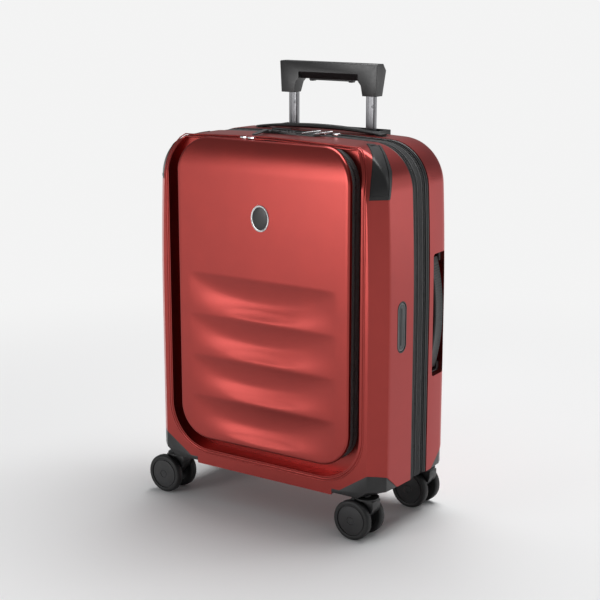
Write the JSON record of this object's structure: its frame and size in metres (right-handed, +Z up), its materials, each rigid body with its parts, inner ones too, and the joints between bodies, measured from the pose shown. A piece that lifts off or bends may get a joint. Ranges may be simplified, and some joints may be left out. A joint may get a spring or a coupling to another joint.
{
  "type": "hard-shell spinner suitcase",
  "caption": "Upright hard-shell cabin suitcase with a front compartment door, a telescopic handle, zip lock and swivelling twin casters.",
  "frame": {"origin": "on the floor under the middle of the case", "axes": "+Z up, +Y from the front door to the back, +X to the right seen from the front"},
  "size_m": [0.4122, 0.2014, 0.646],
  "materials": {
    "shell_red": "satin metallic red",
    "lining_fabric": "woven lining",
    "black_plastic": "satin moulded",
    "zip_tape": "woven tape",
    "tube_metal": "anodised grey",
    "bright_metal": "polished",
    "handle_rubber": "soft ribbed",
    "caster_plastic": "satin",
    "axle_steel": "turned",
    "wheel_rubber": "moulded"
  },
  "bodies": {
    "rear_case": {"rear_shell": "shell_red", "rear_lining": "lining_fabric", "rear_wheel_housings": "black_plastic", "trolley_bezel": "black_plastic", "outer_tubes": "tube_metal", "tube_foot": "black_plastic", "top_handle_mounts": "black_plastic", "side_handle_mounts": "black_plastic", "expansion_zip": "zip_tape", "packing_straps": "zip_tape", "strap_buckle": "black_plastic"},
    "zip_band": {"middle_tape": "zip_tape", "main_zip": "zip_tape", "expansion_gusset": "lining_fabric"},
    "front_case": {"front_shell": "shell_red", "front_lining": "lining_fabric", "laptop_sleeve": "lining_fabric", "front_wheel_housings": "black_plastic", "corner_bumpers": "black_plastic", "id_tag_frame": "black_plastic", "front_piping": "zip_tape", "lock_body": "black_plastic", "main_sliders": "bright_metal", "frame_zip": "zip_tape"},
    "front_door": {"front_door": "shell_red", "door_lining": "lining_fabric", "badge": "bright_metal", "door_zip": "zip_tape", "door_sliders": "bright_metal"},
    "door_pull": {"door_pull": "handle_rubber"},
    "main_pull_left": {"main_pull_left": "bright_metal"},
    "main_pull_right": {"main_pull_right": "bright_metal"},
    "expansion_pull": {"expansion_pull": "handle_rubber"},
    "lock_dial_1": {"lock_dial_1": "black_plastic"},
    "lock_dial_2": {"lock_dial_2": "black_plastic"},
    "lock_dial_3": {"lock_dial_3": "black_plastic"},
    "lock_button": {"lock_button": "black_plastic"},
    "id_tag": {"id_tag": "black_plastic"},
    "top_handle": {"top_handle": "handle_rubber"},
    "side_handle": {"side_handle": "handle_rubber"},
    "middle_stage": {"middle_tubes": "tube_metal"},
    "handle_grip": {"inner_tubes": "tube_metal", "grip": "black_plastic"},
    "release_bar": {"release_bar": "black_plastic"},
    "caster_front_left": {"fork_front_left": "caster_plastic", "axle_front_left": "axle_steel"},
    "wheel_front_left_a": {"wheel_front_left_a": "wheel_rubber"},
    "wheel_front_left_b": {"wheel_front_left_b": "wheel_rubber"},
    "caster_front_right": {"fork_front_right": "caster_plastic", "axle_front_right": "axle_steel"},
    "wheel_front_right_a": {"wheel_front_right_a": "wheel_rubber"},
    "wheel_front_right_b": {"wheel_front_right_b": "wheel_rubber"},
    "caster_rear_left": {"fork_rear_left": "caster_plastic", "axle_rear_left": "axle_steel"},
    "wheel_rear_left_a": {"wheel_rear_left_a": "wheel_rubber"},
    "wheel_rear_left_b": {"wheel_rear_left_b": "wheel_rubber"},
    "caster_rear_right": {"fork_rear_right": "caster_plastic", "axle_rear_right": "axle_steel"},
    "wheel_rear_right_a": {"wheel_rear_right_a": "wheel_rubber"},
    "wheel_rear_right_b": {"wheel_rear_right_b": "wheel_rubber"}
  },
  "joints": [
    {"name": "expansion_slide", "type": "slide", "parent": "rear_case", "child": "zip_band", "axis": [0, -1, 0], "range_m": [0, 0.03]},
    {"name": "case_hinge", "type": "hinge", "parent": "zip_band", "child": "front_case", "pos_m": [-0.2002, -0.00385, 0.3], "axis": [0, 0, -1], "range_deg": [0, 150]},
    {"name": "door_hinge", "type": "hinge", "parent": "front_case", "child": "front_door", "pos_m": [0, -0.08015, 0.099], "axis": [1, 0, 0], "range_deg": [0, 60]},
    {"name": "door_pull_hinge", "type": "hinge", "parent": "front_door", "child": "door_pull", "pos_m": [-0.03, -0.07, 0.552], "axis": [0.9861, 0.166, 0], "range_deg": [0, 120]},
    {"name": "main_pull_left_hinge", "type": "hinge", "parent": "front_case", "child": "main_pull_left", "pos_m": [0.041, -0.0055, 0.5562], "axis": [-0.525, 0.8511, 0], "range_deg": [0, 110]},
    {"name": "main_pull_right_hinge", "type": "hinge", "parent": "front_case", "child": "main_pull_right", "pos_m": [0.061, -0.0055, 0.5562], "axis": [-0.525, 0.8511, 0], "range_deg": [0, 110]},
    {"name": "expansion_pull_hinge", "type": "hinge", "parent": "rear_case", "child": "expansion_pull", "pos_m": [-0.03, 0.0206, 0.5508], "axis": [0, 1, 0], "range_deg": [0, 150]},
    {"name": "lock_dial_1_spin", "type": "hinge", "parent": "front_case", "child": "lock_dial_1", "pos_m": [-0.0068, -0.0195, 0.5492], "axis": [1, 0, 0], "continuous": true},
    {"name": "lock_dial_2_spin", "type": "hinge", "parent": "front_case", "child": "lock_dial_2", "pos_m": [-0.0009, -0.0195, 0.5492], "axis": [1, 0, 0], "continuous": true},
    {"name": "lock_dial_3_spin", "type": "hinge", "parent": "front_case", "child": "lock_dial_3", "pos_m": [0.005, -0.0195, 0.5492], "axis": [1, 0, 0], "continuous": true},
    {"name": "lock_button_slide", "type": "slide", "parent": "front_case", "child": "lock_button", "axis": [1, 0, 0], "range_m": [0, 0.0045], "stiffness_N_per_m": 300, "springref_m": -0.001},
    {"name": "id_tag_slide", "type": "slide", "parent": "front_case", "child": "id_tag", "axis": [1, 0, 0], "range_m": [0, 0.015]},
    {"name": "top_handle_lift", "type": "slide", "parent": "rear_case", "child": "top_handle", "axis": [0, 0, 1], "range_m": [0, 0.02]},
    {"name": "side_handle_pull", "type": "slide", "parent": "rear_case", "child": "side_handle", "axis": [1, 0, 0], "range_m": [0, 0.008], "stiffness_N_per_m": 250, "springref_m": -0.001},
    {"name": "handle_lower_slide", "type": "slide", "parent": "rear_case", "child": "middle_stage", "axis": [0, 0, 1], "range_m": [0, 0.24]},
    {"name": "handle_upper_slide", "type": "slide", "parent": "middle_stage", "child": "handle_grip", "axis": [0, 0, 1], "range_m": [-0.092, 0.135]},
    {"name": "release_bar_press", "type": "slide", "parent": "handle_grip", "child": "release_bar", "axis": [0, 0, 1], "range_m": [0, 0.0015], "stiffness_N_per_m": 400, "springref_m": -0.001},
    {"name": "caster_front_left_swivel", "type": "hinge", "parent": "front_case", "child": "caster_front_left", "pos_m": [-0.17, -0.078, 0.06], "axis": [0, 0, 1], "continuous": true},
    {"name": "wheel_front_left_a_spin", "type": "hinge", "parent": "caster_front_left", "child": "wheel_front_left_a", "pos_m": [-0.1826, -0.095, 0.029], "axis": [0, 1, 0], "continuous": true},
    {"name": "wheel_front_left_b_spin", "type": "hinge", "parent": "caster_front_left", "child": "wheel_front_left_b", "pos_m": [-0.1826, -0.061, 0.029], "axis": [0, 1, 0], "continuous": true},
    {"name": "caster_front_right_swivel", "type": "hinge", "parent": "front_case", "child": "caster_front_right", "pos_m": [0.17, -0.078, 0.06], "axis": [0, 0, 1], "continuous": true},
    {"name": "wheel_front_right_a_spin", "type": "hinge", "parent": "caster_front_right", "child": "wheel_front_right_a", "pos_m": [0.1574, -0.095, 0.029], "axis": [0, 1, 0], "continuous": true},
    {"name": "wheel_front_right_b_spin", "type": "hinge", "parent": "caster_front_right", "child": "wheel_front_right_b", "pos_m": [0.1574, -0.061, 0.029], "axis": [0, 1, 0], "continuous": true},
    {"name": "caster_rear_left_swivel", "type": "hinge", "parent": "rear_case", "child": "caster_rear_left", "pos_m": [-0.17, 0.078, 0.06], "axis": [0, 0, 1], "continuous": true},
    {"name": "wheel_rear_left_a_spin", "type": "hinge", "parent": "caster_rear_left", "child": "wheel_rear_left_a", "pos_m": [-0.1826, 0.061, 0.029], "axis": [0, 1, 0], "continuous": true},
    {"name": "wheel_rear_left_b_spin", "type": "hinge", "parent": "caster_rear_left", "child": "wheel_rear_left_b", "pos_m": [-0.1826, 0.095, 0.029], "axis": [0, 1, 0], "continuous": true},
    {"name": "caster_rear_right_swivel", "type": "hinge", "parent": "rear_case", "child": "caster_rear_right", "pos_m": [0.17, 0.078, 0.06], "axis": [0, 0, 1], "continuous": true},
    {"name": "wheel_rear_right_a_spin", "type": "hinge", "parent": "caster_rear_right", "child": "wheel_rear_right_a", "pos_m": [0.1574, 0.061, 0.029], "axis": [0, 1, 0], "continuous": true},
    {"name": "wheel_rear_right_b_spin", "type": "hinge", "parent": "caster_rear_right", "child": "wheel_rear_right_b", "pos_m": [0.1574, 0.095, 0.029], "axis": [0, 1, 0], "continuous": true}
  ]
}
